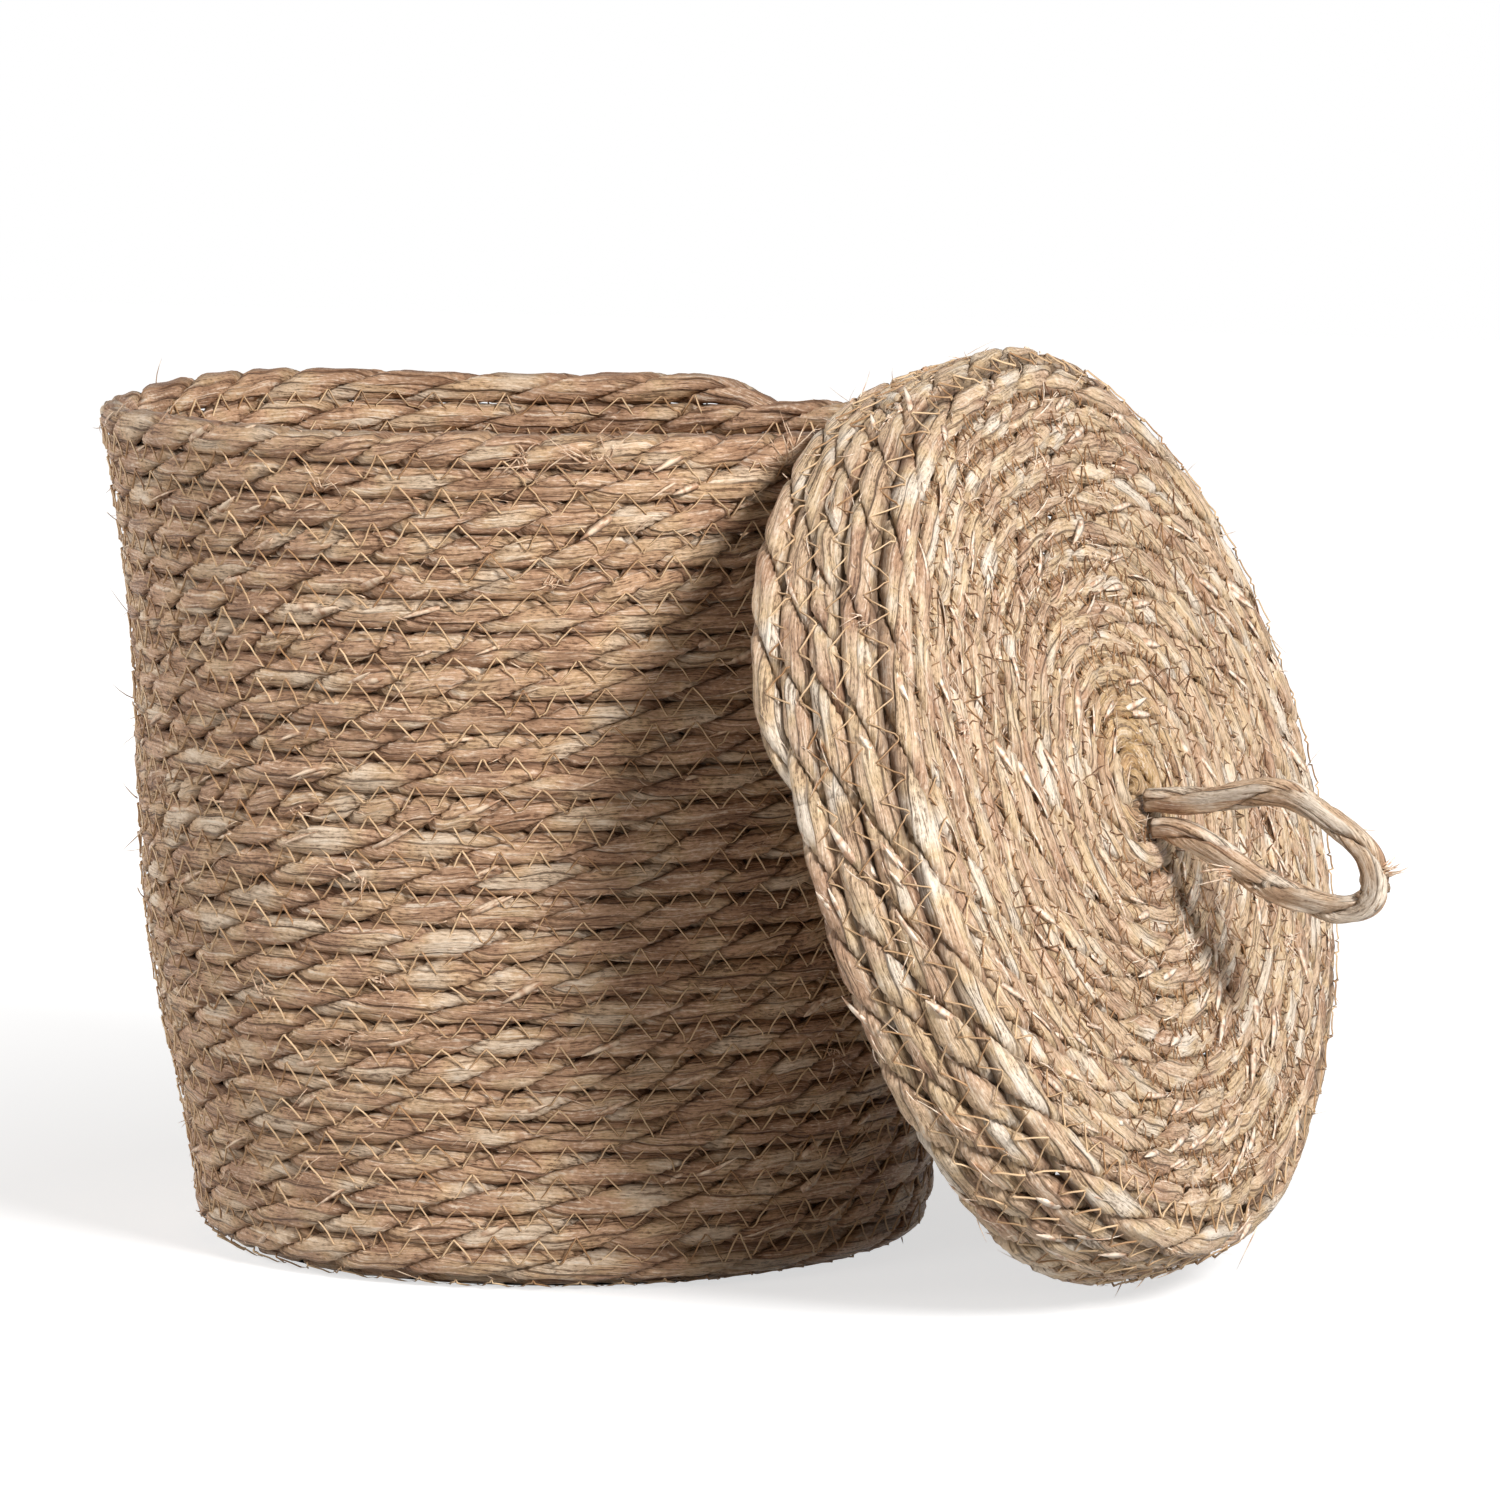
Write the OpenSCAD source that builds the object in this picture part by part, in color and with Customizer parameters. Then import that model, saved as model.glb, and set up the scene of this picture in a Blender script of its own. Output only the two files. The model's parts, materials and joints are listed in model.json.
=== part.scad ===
// Coiled rope laundry basket with a lift-off lid.
// One twisted leaf rope is wound in rows that are sewn to each other. The base is a flat coil, the
// wall is the same rope climbing row by row, and the lid is a second coil with a shallow skirt.
// The lid is off the basket: it stands on its edge and leans against the rim.
// Frame: origin at the middle of the underside, +Z up, and the lid leans on the +X side.

/* [Rope] */
// Thickness of the twisted rope
rope_d = 15.6; // [12:0.2:20]
// How far neighbouring rows are pressed into each other by the sewing
row_squeeze = 0.8; // [0.4:0.1:1.4]
// Flat worn under the base rope where it stands
base_flat = 0.5; // [0.3:0.1:1]

/* [Basket] */
// Number of rope rows up the wall, with the row of the base
wall_rows = 27; // [16:1:36]
// Outer diameter at the rim
rim_d = 404; // [300:1:540]
// Outer diameter of the wall's foot
base_d = 346; // [240:1:480]
// How far the wall bows out from a straight cone
wall_bulge = 5; // [0:0.5:14]
// How far the base row is drawn in under the first wall row
heel_inset = 4; // [0:0.5:8]
// Direction of the rope's end on the rim, from +X
rim_end_angle = 82; // [0:1:359]

/* [Lid] */
// Play between the rim and the inside of the lid
lid_clearance = 2; // [1:0.5:10]
// Rise of the lid's middle over its shoulder
lid_dome = 8; // [0:1:20]
// How far the last row of the face lies inside the skirt
shoulder_inset = 9; // [5:0.5:11]
// Plain rows of the skirt, before the edge row
skirt_rows = 2; // [1:1:5]
// Direction of the rope's end on the lid's edge, from the lowest point of the lid
lid_end_angle = -111; // [-179:1:180]
// Length over which a rope's end thins out
end_taper = 45; // [25:1:80]

/* [Lean] */
// How far outside the wall's foot the lid stands on the floor
foot_gap = 133; // [60:1:180]
// How far the lid stands to the side of the basket's middle
lid_shift = -30; // [-60:1:60]
// Air between the lid's edge and the rim it leans on
lean_air = 0.4; // [0.3:0.1:1]

/* [Handle] */
// Thickness of the handle's cord
cord_d = 11; // [7:0.5:14]
// Length of the loop from the lid
loop_length = 111; // [70:1:150]
// Greatest width of the loop
loop_width = 56; // [40:1:80]
// Angle by which the loop droops from the lid's axis
loop_droop = 31; // [0:1:40]
// How far below the lid's middle the handle is tied in
handle_drop = 17; // [0:1:40]
// Thickness of the cord where it is squeezed between two rows of the lid
neck_d = 6.4; // [5:0.2:7]
// Thickness of the knots inside the lid
knot_d = 15; // [12:1:24]
// Gap between the two knots, which sets the loop's feet as far apart
knot_gap = 2; // [1:0.5:10]
// Air around the cord where it passes the lid
cord_air = 0.3; // [0.2:0.1:0.6]

/* [Hidden] */
$fn = 96;
big = 4000;

rope_r = rope_d / 2;
row_pitch = rope_d - row_squeeze;

// Basket rows: row 0 is the outer row of the base, and each next row lies on the one before
base_z = rope_r - base_flat;
ramp_row = wall_rows - 2;
function wall_r(k) =
    let (share = k / (wall_rows - 1))
    base_d / 2 - rope_r + (rim_d - base_d) / 2 * share + wall_bulge * sin(180 * share)
    - (k == 0 ? heel_inset : 0);
heel_step = wall_r(1) - wall_r(0);
heel_rise = sqrt(row_pitch * row_pitch - heel_step * heel_step);
function wall_z(k) = k == 0 ? base_z : base_z + heel_rise + (k - 1) * row_pitch;
function between(a, b) = (a + b) / 2;
function row_seat_z(k) = between(wall_z(k - 1), wall_z(k));
base_rings = round(wall_r(0) / row_pitch);
base_pitch = wall_r(0) / base_rings;

// The wall is made up in three bands of rows, and each band starts on the seat of its first row
bands = 3;
function band_row(band) = 1 + round((ramp_row - 1) * band / bands);

// Lid rows, in the lid's own frame: +Z out of its face, 0 at the crest of the last face row
lid_r = rim_d / 2 + lid_clearance + rope_d;
skirt_r = lid_r - rope_r;
face_r = skirt_r - shoulder_inset;
face_rings = round(face_r / row_pitch);
face_pitch = face_r / face_rings;
face_z = -rope_r;
shoulder_soft = 1.5;
function skirt_row_r(k) = k == 0 ? face_r : k == 1 ? skirt_r - shoulder_soft : skirt_r;
function row_drop(k) = sqrt(pow(row_pitch, 2) - pow(skirt_row_r(k) - skirt_row_r(k - 1), 2));
function skirt_row_z(k) = k == 0 ? face_z : skirt_row_z(k - 1) - row_drop(k);
edge_row = skirt_rows + 1;
edge_z = skirt_row_z(edge_row);
top_seat_z = between(skirt_row_z(0), skirt_row_z(1));
edge_seat_z = between(skirt_row_z(edge_row - 1), edge_z);
function dome_z(r) = face_z + lid_dome * (1 - pow(r / face_r, 2));

// The last turn of each coil climbs by one row, and its end thins out over the taper.
// turn is the share of the last turn that lies behind a point, going clockwise from the end.
function turn_at(angle, end_angle) = ((end_angle - angle) % 360 + 360) % 360 / 360;
function taper_share(r) = end_taper / (2 * PI * r);
function thinning(turn, r) = max(0, (turn - 1 + taper_share(r)) / taper_share(r));
tip_share = 0.45;
function climb(turn, r) =
    let (s = thinning(turn, r))
    row_pitch * turn * (1 - s * s);
function climb_radius(turn, r) = rope_r * (1 - (1 - tip_share) * thinning(turn, r));

// Handle: the loop turns about the line through the balls at its feet
cord_r = cord_d / 2;
ball_r = cord_r + 0.7;
ball_seat = 1.2;
pivot_z = dome_z(handle_drop) + rope_r + ball_r - ball_seat;
lid_under_z = dome_z(handle_drop) - rope_r;
knot_r = knot_d / 2;
feet_spacing = knot_d + knot_gap;
knot_z = lid_under_z - knot_r - cord_air;
neck_r = neck_d / 2;
loop_steps = 30;
loop_sides = 10;
loop_bend_share = 0.35;

// The lid leans until a rope of it, or a knot inside it, meets a rope of the basket
foot_x = base_d / 2 + foot_gap;
foot_drop = edge_z - climb(turn_at(0, lid_end_angle), skirt_r);
function lid_origin(lean) = [
    foot_x - skirt_r * sin(lean) - foot_drop * cos(lean),
    lid_shift,
    rope_r + skirt_r * cos(lean) - foot_drop * sin(lean)];
function lid_point(p, lean) = lid_origin(lean) + [
    p[0] * sin(lean) + p[2] * cos(lean),
    p[1],
    p[2] * sin(lean) - p[0] * cos(lean)];
function edge_point(a) = [skirt_r * cos(a), skirt_r * sin(a),
    edge_z - climb(turn_at(a, lid_end_angle), skirt_r)];
function rim_distance(p) =
    let (a = atan2(p[1], p[0]), r = wall_r(ramp_row),
         z = wall_z(ramp_row) + climb(turn_at(a, rim_end_angle), r))
    norm([norm([p[0], p[1]]) - r, p[2] - z]);
function wall_distance(p) =
    let (k = max(0, min(ramp_row, round((p[2] - base_z) / row_pitch))))
    min([for (i = [max(0, k - 1):min(ramp_row, k + 1)]) norm([norm([p[0], p[1]]) - wall_r(i), p[2] - wall_z(i)])]);
function rope_distance(p) = min(rim_distance(p), wall_distance(p));
contact_arc = 70;
contact_step = 3;
function edge_air(lean) =
    min([for (a = [180 - contact_arc:1:180 + contact_arc]) rope_distance(lid_point(edge_point(a), lean))])
    - rope_d;
row_places = concat(
    [for (k = [0:edge_row]) [skirt_row_r(k), skirt_row_z(k)]],
    [for (i = [0:face_rings - 1]) [i * face_pitch, dome_z(i * face_pitch)]]);
function row_air(lean) =
    min([for (q = row_places, a = [90:contact_step:270])
        rope_distance(lid_point([q[0] * cos(a), q[0] * sin(a), q[1]], lean))])
    - rope_d;
function knot_air(lean) =
    min([for (side = [-1, 1]) wall_distance(lid_point([handle_drop + side * feet_spacing / 2, 0, knot_z], lean))])
    - knot_r - rope_r;
function lid_air(lean) = min(edge_air(lean), row_air(lean), knot_air(lean));
function leaning(low, high, steps) =
    let (mid = (low + high) / 2)
    steps == 0 ? low
    : lid_air(mid) > lean_air ? leaning(mid, high, steps - 1)
    : leaning(low, mid, steps - 1);
lean = leaning(0, 45, 22);

// ---- shapes ----

// A row of rope in section
module rope_section(r, z) {
    translate([r, z]) circle(r = rope_r);
}

// Turns a profile into rope rows, keeping what lies between two heights
module rows(low, high) {
    rotate_extrude()
        intersection() {
            children();
            translate([0, low]) square([big, high - low]);
        }
}

// Half width of the stacked row and climbing row at height z over the stacked row's middle
function stack_width(z, c, q) =
    max(sqrt(max(0, rope_r * rope_r - z * z)), sqrt(max(0, q * q - (z - c) * (z - c))));

// Heights at which the section of a climbing turn is drawn, from its seat to its crest
low_levels = 4;
high_levels = 6;
function notch_z(c, q) = min(0.7 * rope_r, max(0.1, (c * c + rope_r * rope_r - q * q) / (2 * max(c, 0.2))));
function levels(seat, c, q) =
    let (notch = notch_z(c, q), crest = max(rope_r, c + q))
    concat(
        [for (i = [0:low_levels - 1]) seat + (notch - seat) * i / low_levels],
        [for (i = [0:high_levels]) notch + (crest - notch) * sin(90 * i / high_levels)]);
function stack_section(seat, c, q) =
    let (z = levels(seat, c, q), n = len(z))
    concat(
        [for (i = [0:n - 1]) [stack_width(z[i], c, q), z[i]]],
        [for (i = [n - 2:-1:0]) [-stack_width(z[i], c, q), z[i]]]);

// A whole row with the last turn of the coil climbing over it, closed all the way round
turn_steps = 90;
module climbing_row(r, z, seat_z, end_angle) {
    n = 2 * (low_levels + high_levels) + 1;
    sections = [for (i = [0:turn_steps - 1])
        let (turn = i / turn_steps, a = end_angle - 360 * turn,
             outline = stack_section(seat_z - z, climb(turn, r), climb_radius(turn, r)))
        for (p = outline) [(r + p[0]) * cos(a), (r + p[0]) * sin(a), z + p[1]]];
    faces = [for (i = [0:turn_steps - 1], j = [0:n - 1])
        let (i2 = (i + 1) % turn_steps, j2 = (j + 1) % n)
        for (f = [[i * n + j, i2 * n + j, i2 * n + j2], [i * n + j, i2 * n + j2, i * n + j2]]) f];
    polyhedron(points = sections, faces = faces, convexity = 6);
}

// Puts the lid's own frame where the lid stands
module lid_place() {
    translate(lid_origin(lean)) rotate([0, 90 - lean, 0]) children();
}

// ---- basket ----

module base_coil() {
    color("#b8946a")
        rows(0, row_seat_z(1))
            for (k = [0:base_rings])
                rope_section(k * base_pitch, base_z);
}

module wall_band(band) {
    first = band_row(band);
    next = band_row(band + 1);
    rows(row_seat_z(first), row_seat_z(next))
        for (k = [first:next - 1])
            rope_section(wall_r(k), wall_z(k));
}

module lower_wall_coil() {
    color("#b08a60") wall_band(0);
}

module middle_wall_coil() {
    color("#b48f64") wall_band(1);
}

module upper_wall_coil() {
    color("#b99469") wall_band(2);
}

module rim_coil() {
    color("#c09c72")
        climbing_row(wall_r(ramp_row), wall_z(ramp_row), row_seat_z(ramp_row), rim_end_angle);
}

// ---- lid ----

module lid_top_coil() {
    color("#d4b88c")
        lid_place()
            difference() {
                rows(top_seat_z, big)
                    for (k = [0:face_rings])
                        rope_section(k * face_pitch, dome_z(k * face_pitch));
                for (side = [-1, 1])
                    translate([handle_drop + side * feet_spacing / 2, 0, 0]) {
                        translate([0, 0, pivot_z]) sphere(r = ball_r + cord_air);
                        translate([0, 0, lid_under_z - rope_r])
                            cylinder(r = neck_r + cord_air, h = pivot_z - lid_under_z + rope_r);
                    }
            }
}

module lid_skirt_coil() {
    color("#cfb184")
        lid_place()
            rows(edge_seat_z, top_seat_z)
                for (k = [1:skirt_rows])
                    rope_section(skirt_row_r(k), skirt_row_z(k));
}

module lid_edge_coil() {
    color("#d8bd92")
        lid_place()
            mirror([0, 0, 1])
                climbing_row(skirt_r, -edge_z, -edge_seat_z, lid_end_angle);
}

// ---- handle ----

// A point of the loop's middle line: share 0 and 1 are the feet
function loop_flat(share) =
    let (a = 180 * share, swell = 0.76 * loop_width - feet_spacing / 2)
    [-cos(a) * (feet_spacing / 2 + swell * pow(sin(a), 1.2)), (loop_length - cord_r) * sin(a)];
function loop_point(share) =
    let (p = loop_flat(share), bend = loop_droop * min(1, p[1] / (loop_bend_share * loop_length)))
    [p[0] * cos(bend) + p[1] * sin(bend), 0, pivot_z + p[1] * cos(bend) - p[0] * sin(bend)];
function unit(v) = v / norm(v);

module handle_loop() {
    path = [for (i = [0:loop_steps]) loop_point(i / loop_steps)];
    rings = [for (i = [0:loop_steps])
        let (ahead = path[min(i + 1, loop_steps)], behind = path[max(i - 1, 0)],
             t = unit(ahead - behind), side = [t[2], 0, -t[0]])
        for (j = [0:loop_sides - 1])
            let (a = 360 * j / loop_sides)
            path[i] + cord_r * (cos(a) * side + sin(a) * [0, 1, 0])];
    tube = [for (i = [0:loop_steps - 1], j = [0:loop_sides - 1])
        let (j2 = (j + 1) % loop_sides, a = i * loop_sides, b = a + loop_sides)
        for (f = [[a + j, b + j, b + j2], [a + j, b + j2, a + j2]]) f];
    last = loop_steps * loop_sides;
    caps = [[for (j = [0:loop_sides - 1]) j], [for (j = [loop_sides - 1:-1:0]) last + j]];
    color("#cfae80")
        lid_place() translate([handle_drop, 0, 0]) {
            polyhedron(points = rings, faces = concat(tube, caps), convexity = 4);
            for (side = [-1, 1])
                translate([side * feet_spacing / 2, 0, pivot_z]) sphere(r = ball_r, $fn = 24);
        }
}

module handle_knots() {
    neck_top = pivot_z - ball_r - cord_air;
    color("#c4a274")
        lid_place()
            for (side = [-1, 1])
                translate([handle_drop + side * feet_spacing / 2, 0, 0]) {
                    translate([0, 0, knot_z]) cylinder(r = neck_r, h = neck_top - knot_z);
                    translate([0, 0, knot_z]) sphere(r = knot_r);
                }
}

base_coil();
lower_wall_coil();
middle_wall_coil();
upper_wall_coil();
rim_coil();
lid_top_coil();
lid_skirt_coil();
lid_edge_coil();
handle_loop();
handle_knots();
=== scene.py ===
"""Coiled rope laundry basket with its lid, laid up strand by strand and sewn row to row."""

import json
import math
from functools import partial
from types import SimpleNamespace

import bpy
import numpy as np
from bpy.props import FloatProperty, FloatVectorProperty, IntProperty, PointerProperty
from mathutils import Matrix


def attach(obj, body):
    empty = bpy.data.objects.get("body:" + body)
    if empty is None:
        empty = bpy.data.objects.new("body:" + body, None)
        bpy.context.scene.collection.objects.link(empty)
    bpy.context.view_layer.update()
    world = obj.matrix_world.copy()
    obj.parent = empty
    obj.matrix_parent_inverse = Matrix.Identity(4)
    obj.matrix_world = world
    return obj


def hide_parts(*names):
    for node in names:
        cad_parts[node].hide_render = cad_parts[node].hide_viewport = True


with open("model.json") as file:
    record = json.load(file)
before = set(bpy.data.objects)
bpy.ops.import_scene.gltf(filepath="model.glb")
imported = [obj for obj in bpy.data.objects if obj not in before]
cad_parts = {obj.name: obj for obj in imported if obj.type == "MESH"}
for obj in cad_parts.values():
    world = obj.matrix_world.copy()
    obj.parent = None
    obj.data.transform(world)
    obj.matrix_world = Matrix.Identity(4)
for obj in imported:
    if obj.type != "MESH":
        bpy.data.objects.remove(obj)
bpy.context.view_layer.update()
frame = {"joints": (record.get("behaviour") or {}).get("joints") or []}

bl_info = {
    "name": "Coiled Rope Basket",
    "version": (1, 0, 0),
    "blender": (4, 5, 0),
    "location": "View3D > Sidebar > Rope Basket",
    "description": "Winds, sews and frays a leaf rope basket with a lid and a loop handle",
    "category": "Object",
}

joints = {joint["name"]: joint for joint in frame["joints"]}
LID_AXIS = np.array(joints["lid_lift_off"]["axis"], float)
HANDLE_PIVOT = np.array(joints["handle_swing"]["pos_m"], float)
DOWN_SLOPE = -np.array(joints["handle_swing"]["axis"], float)
# The lid's own axes: down its slope, across it and out of its face
LID_AXES = np.stack([DOWN_SLOPE, np.cross(LID_AXIS, DOWN_SLOPE), LID_AXIS])

# Rope rows from the middle of the lid to the end of its face, and to the end of its coil
FACE_ROWS, LID_ROWS = 14, 18
# Length over which a rope's end thins out and falls into the row before it
TAPER = 0.045
# How far from a rope's middle line its loose fibres, tufts and flaps start
FRAY_ROOT, TUFT_ROOT, FLAP_ROOT = 0.0073, 0.0072, 0.0074
# Height up to which the wall has leaned and the rim has gone out of level
WALL_HEIGHT = 0.4
# Rings of thread, and of loose fibres, that fill the bake's map once
THREAD_RINGS, FIBRE_RINGS = 12 * 24, 30
TURN = 2 * math.pi


def linear(code):
    """The linear colour of an sRGB hex value."""
    parts = [int(code[i : i + 2], 16) / 255 for i in (1, 3, 5)]
    return [p / 12.92 if p <= 0.04045 else ((p + 0.055) / 1.055) ** 2.4 for p in parts]


# ---- settings ----


def size_setting(name, description, default):
    """A length that a user can change."""
    return FloatProperty(name=name, description=description, default=default, unit="LENGTH", precision=5)


def colour_setting(name, description, code):
    """A colour that a user can change."""
    return FloatVectorProperty(name=name, description=description, default=linear(code), subtype="COLOR")


class RopeSettings(bpy.types.PropertyGroup):
    """Sizes of the rope and of what sews it"""

    thickness: size_setting("Thickness", "Thickness of the rope", 0.0156)
    pitch: size_setting("Row pitch", "Distance from row to row", 0.0148)
    lay: size_setting("Lay", "Length in which a strand goes once round", 0.076)
    strips: IntProperty(
        name="Leaf strips", description="Leaf strips that show round a strand",
        default=5, min=3, max=9)
    step: size_setting("Step", "Length of a facet along the rope", 0.0035)
    stitch: size_setting("Stitch", "Length of one zigzag of the thread", 0.0182)
    thread: size_setting("Thread", "Thickness of the sewing thread", 0.0010)


class BasketSettings(bpy.types.PropertyGroup):
    """Sizes of the basket"""

    rows: IntProperty(name="Rows", description="Rope rows up the wall", default=27)
    foot: size_setting("Foot", "Outer diameter of the wall's foot", 0.346)
    rim: size_setting("Rim", "Outer diameter at the rim", 0.404)
    bulge: size_setting("Bulge", "How far the wall bows out", 0.005)
    inset: size_setting("Heel", "How far the base is drawn in under the wall", 0.004)
    end: FloatProperty(
        name="Rope end", description="Direction of the rope's end on the rim",
        default=math.radians(82), unit="ROTATION")
    slump: size_setting("Slump", "How far the rim sags away from the lid", 0.0135)
    sag: FloatProperty(
        name="Sag", description="How far the rim has gone out of level",
        default=1.0, subtype="FACTOR", min=0, max=1.5)
    dent: size_setting("Dent", "How deep the wall is dented in and out", 0.004)


class LidSettings(bpy.types.PropertyGroup):
    """Sizes of the lid"""

    radius: size_setting("Radius", "Outer radius", 0.2196)
    dome: size_setting("Dome", "Rise of the middle over the shoulder", 0.008)
    shoulder: size_setting("Shoulder", "How far the face ends inside the skirt", 0.009)
    end: FloatProperty(
        name="Rope end", description="Direction of the rope's end",
        default=math.radians(-98), unit="ROTATION")
    warp: FloatProperty(
        name="Warp", description="How far the lid has gone out of shape",
        default=1.0, subtype="FACTOR", min=0, max=1.5)


class HandleSettings(bpy.types.PropertyGroup):
    """Sizes of the handle's cord"""

    thickness: size_setting("Thickness", "Thickness of the cord", 0.0128)
    lay: size_setting("Lay", "Length in which a strand goes once round", 0.100)
    strips: IntProperty(
        name="Leaf strips", description="Leaf strips that show round a strand",
        default=4, min=3, max=9)
    step: size_setting("Step", "Length of a facet along the cord", 0.0015)
    drop: size_setting("Drop", "How far below the lid's middle it is tied in", 0.017)
    pivot: size_setting("Pivot", "Height of the cord's bend over the shoulder", 0.01294)


class ColourSettings(bpy.types.PropertyGroup):
    """Colours of the leaf and the thread"""

    brown: colour_setting("Brown leaf", "Darkest leaf of the basket", "#b48b6c")
    tan: colour_setting("Tan leaf", "Common leaf of the basket", "#d3a987")
    ochre: colour_setting("Ochre leaf", "Yellowish leaf of the basket", "#dcb78f")
    straw: colour_setting("Straw leaf", "Palest leaf of the basket", "#ecd2b5")
    lid_brown: colour_setting("Brown lid leaf", "Darkest leaf of the lid", "#c8a081")
    lid_tan: colour_setting("Tan lid leaf", "Common leaf of the lid", "#e3c3a2")
    lid_ochre: colour_setting("Ochre lid leaf", "Yellowish leaf of the lid", "#e6c79e")
    lid_straw: colour_setting("Straw lid leaf", "Palest leaf of the lid", "#f8e7d2")
    gold: colour_setting("Gold", "Golden stain near the lid's middle", "#c79c5a")
    # The crease colour is the painted shade in creases and folds, and the dark lines of the grain
    crease: colour_setting("Crease", "Dark line where strips meet", "#3d1e0b")
    # Pale split skin, partly painted highlight streaks
    split: colour_setting("Split", "Pale line where the leaf's skin has split", "#f8e6d0")
    thread: colour_setting("Thread", "Sewing thread", "#e2c39b")
    thread_dark: colour_setting("Thread's shade", "Darker lengths of the thread", "#a67d55")
    thread_worn: colour_setting("Worn thread", "Brown, worn thread of the lid's face", "#6b4526")


# ---- shared tools ----


def wander(x, seed):
    """Smooth noise from -1 to 1 along a line, the same on every run."""
    cell = np.floor(x)
    t = x - cell
    t = t * t * (3 - 2 * t)

    def at(c):
        return np.modf(np.abs(np.sin(c * 12.9898 + seed * 78.233)) * 43758.5453)[0] * 2 - 1

    return at(cell) * (1 - t) + at(cell + 1) * t


def unit(v):
    """Directions of length 1."""
    return v / np.maximum(np.linalg.norm(v, axis=-1, keepdims=True), 1e-12)


def ease(t):
    """A smooth step from 0 to 1."""
    t = np.clip(t, 0, 1)
    return t * t * (3 - 2 * t)


def run_of(points):
    """The length along a line at each of its points."""
    return np.concatenate([[0], np.cumsum(np.linalg.norm(np.diff(points, axis=0), axis=1))])


def node(tree, kind, inputs=(), **settings):
    """Adds a shader node with its settings, and links or sets its inputs, given by name or in order."""
    made = tree.nodes.new("ShaderNode" + kind)
    for name, value in settings.items():
        setattr(made, name, value)
    for name, value in inputs.items() if isinstance(inputs, dict) else enumerate(inputs):
        if isinstance(value, bpy.types.Node):
            value = value.outputs[0]
        if isinstance(value, bpy.types.NodeSocket):
            tree.links.new(value, made.inputs[name])
        else:
            made.inputs[name].default_value = value
    return made


# ---- winding ----


def wind(profile, first, last, end_row, end_angle, facing, step, shift=0.0, fall=0.0):
    """A line wound over a profile, from one row count to another: points a step apart, each with its
    tangent, its outward direction and the direction across the rope. Facing is 1 for the basket, wound
    clockwise, and -1 for the lid, wound the other way. A shift of half a row gives the seam between two
    rows. The last stretch can fall into the row before it."""

    def places(k):
        r, z = profile(k + shift)
        a = end_angle - facing * TURN * (k - end_row)
        ahead, behind = profile(k + shift + 0.5), profile(k + shift - 0.5)
        across = unit(np.stack([ahead[0] - behind[0], ahead[1] - behind[1]], 1))
        spoke = np.stack([np.cos(a), np.sin(a), 0 * a], 1)
        up = np.array([0, 0, 1.0])
        out = spoke * (facing * across[:, 1:]) - up * (facing * across[:, :1])
        return spoke * r[:, None] + up * z[:, None], out

    # Half a degree apart at first, and then a step apart
    k = np.linspace(first, last, int((last - first) * 720) + 2)
    p, _ = places(k)
    run = run_of(p)
    s = np.linspace(0, run[-1], int(run[-1] / step) + 1)
    k = np.interp(s, run, k)
    p, n = places(k)
    p[:, 2] += fall * np.clip(1 - (run[-1] - s) / TAPER, 0, 1) ** 2
    t = unit(np.gradient(p, axis=0))
    n = unit(n - t * (n * t).sum(1)[:, None])
    return SimpleNamespace(s=s, k=k, p=p, t=t, n=n, w=np.cross(t, n))


def follow(points, side, step):
    """A smooth line along the given points, with its directions. The side is a direction across it."""
    knots = run_of(points)
    s = np.linspace(0, knots[-1], int(knots[-1] / step) + 1)
    p = np.stack([np.interp(s, knots, points[:, i]) for i in range(3)], 1)
    # Smoothed twice, over 12 mm
    width = max(3, int(0.012 / step) | 1)
    kernel = np.hanning(width + 2)[1:-1]
    kernel /= kernel.sum()
    for _ in range(2):
        before, after = 2 * p[:1] - p[width // 2 : 0 : -1], 2 * p[-1:] - p[-2 : -width // 2 - 1 : -1]
        padded = np.concatenate([before, p, after])
        p = np.stack([np.convolve(padded[:, i], kernel, "valid") for i in range(3)], 1)
    t = unit(np.gradient(p, axis=0))
    w = unit(side - t * (t @ side)[:, None])
    return SimpleNamespace(s=s, k=s / s[-1], p=p, t=t, n=np.cross(w, t), w=w)


def stretch(rope, low, high):
    """The stretch of a rope from one row count to another."""
    i = slice(int(np.searchsorted(rope.k, low)), int(np.searchsorted(rope.k, high)) + 1)
    return SimpleNamespace(**{key: value[i] for key, value in vars(rope).items()})


def lay_up(rope, cord, seed, wobble=1.0):
    """Adds what the strands share: the turn of the lay, the row's wobble and the rope's swelling."""
    lay = cord.lay * (1 + 0.30 * wander(rope.s / 0.31, seed) + 0.34 * wander(rope.s / 0.075, seed + 1))
    rope.turn = -TURN * np.cumsum(np.gradient(rope.s) / lay)
    rope.swell = 1 + 0.045 * wander(rope.s / 0.055, seed + 2)
    out = 0.0007 * wander(rope.s / 0.05, seed + 3) + 0.0008 * wander(rope.s / 0.21, seed + 4)
    over = 0.0006 * wander(rope.s / 0.06, seed + 5)
    rope.p = rope.p + wobble * (rope.n * out[:, None] + rope.w * over[:, None])
    return rope


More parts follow.
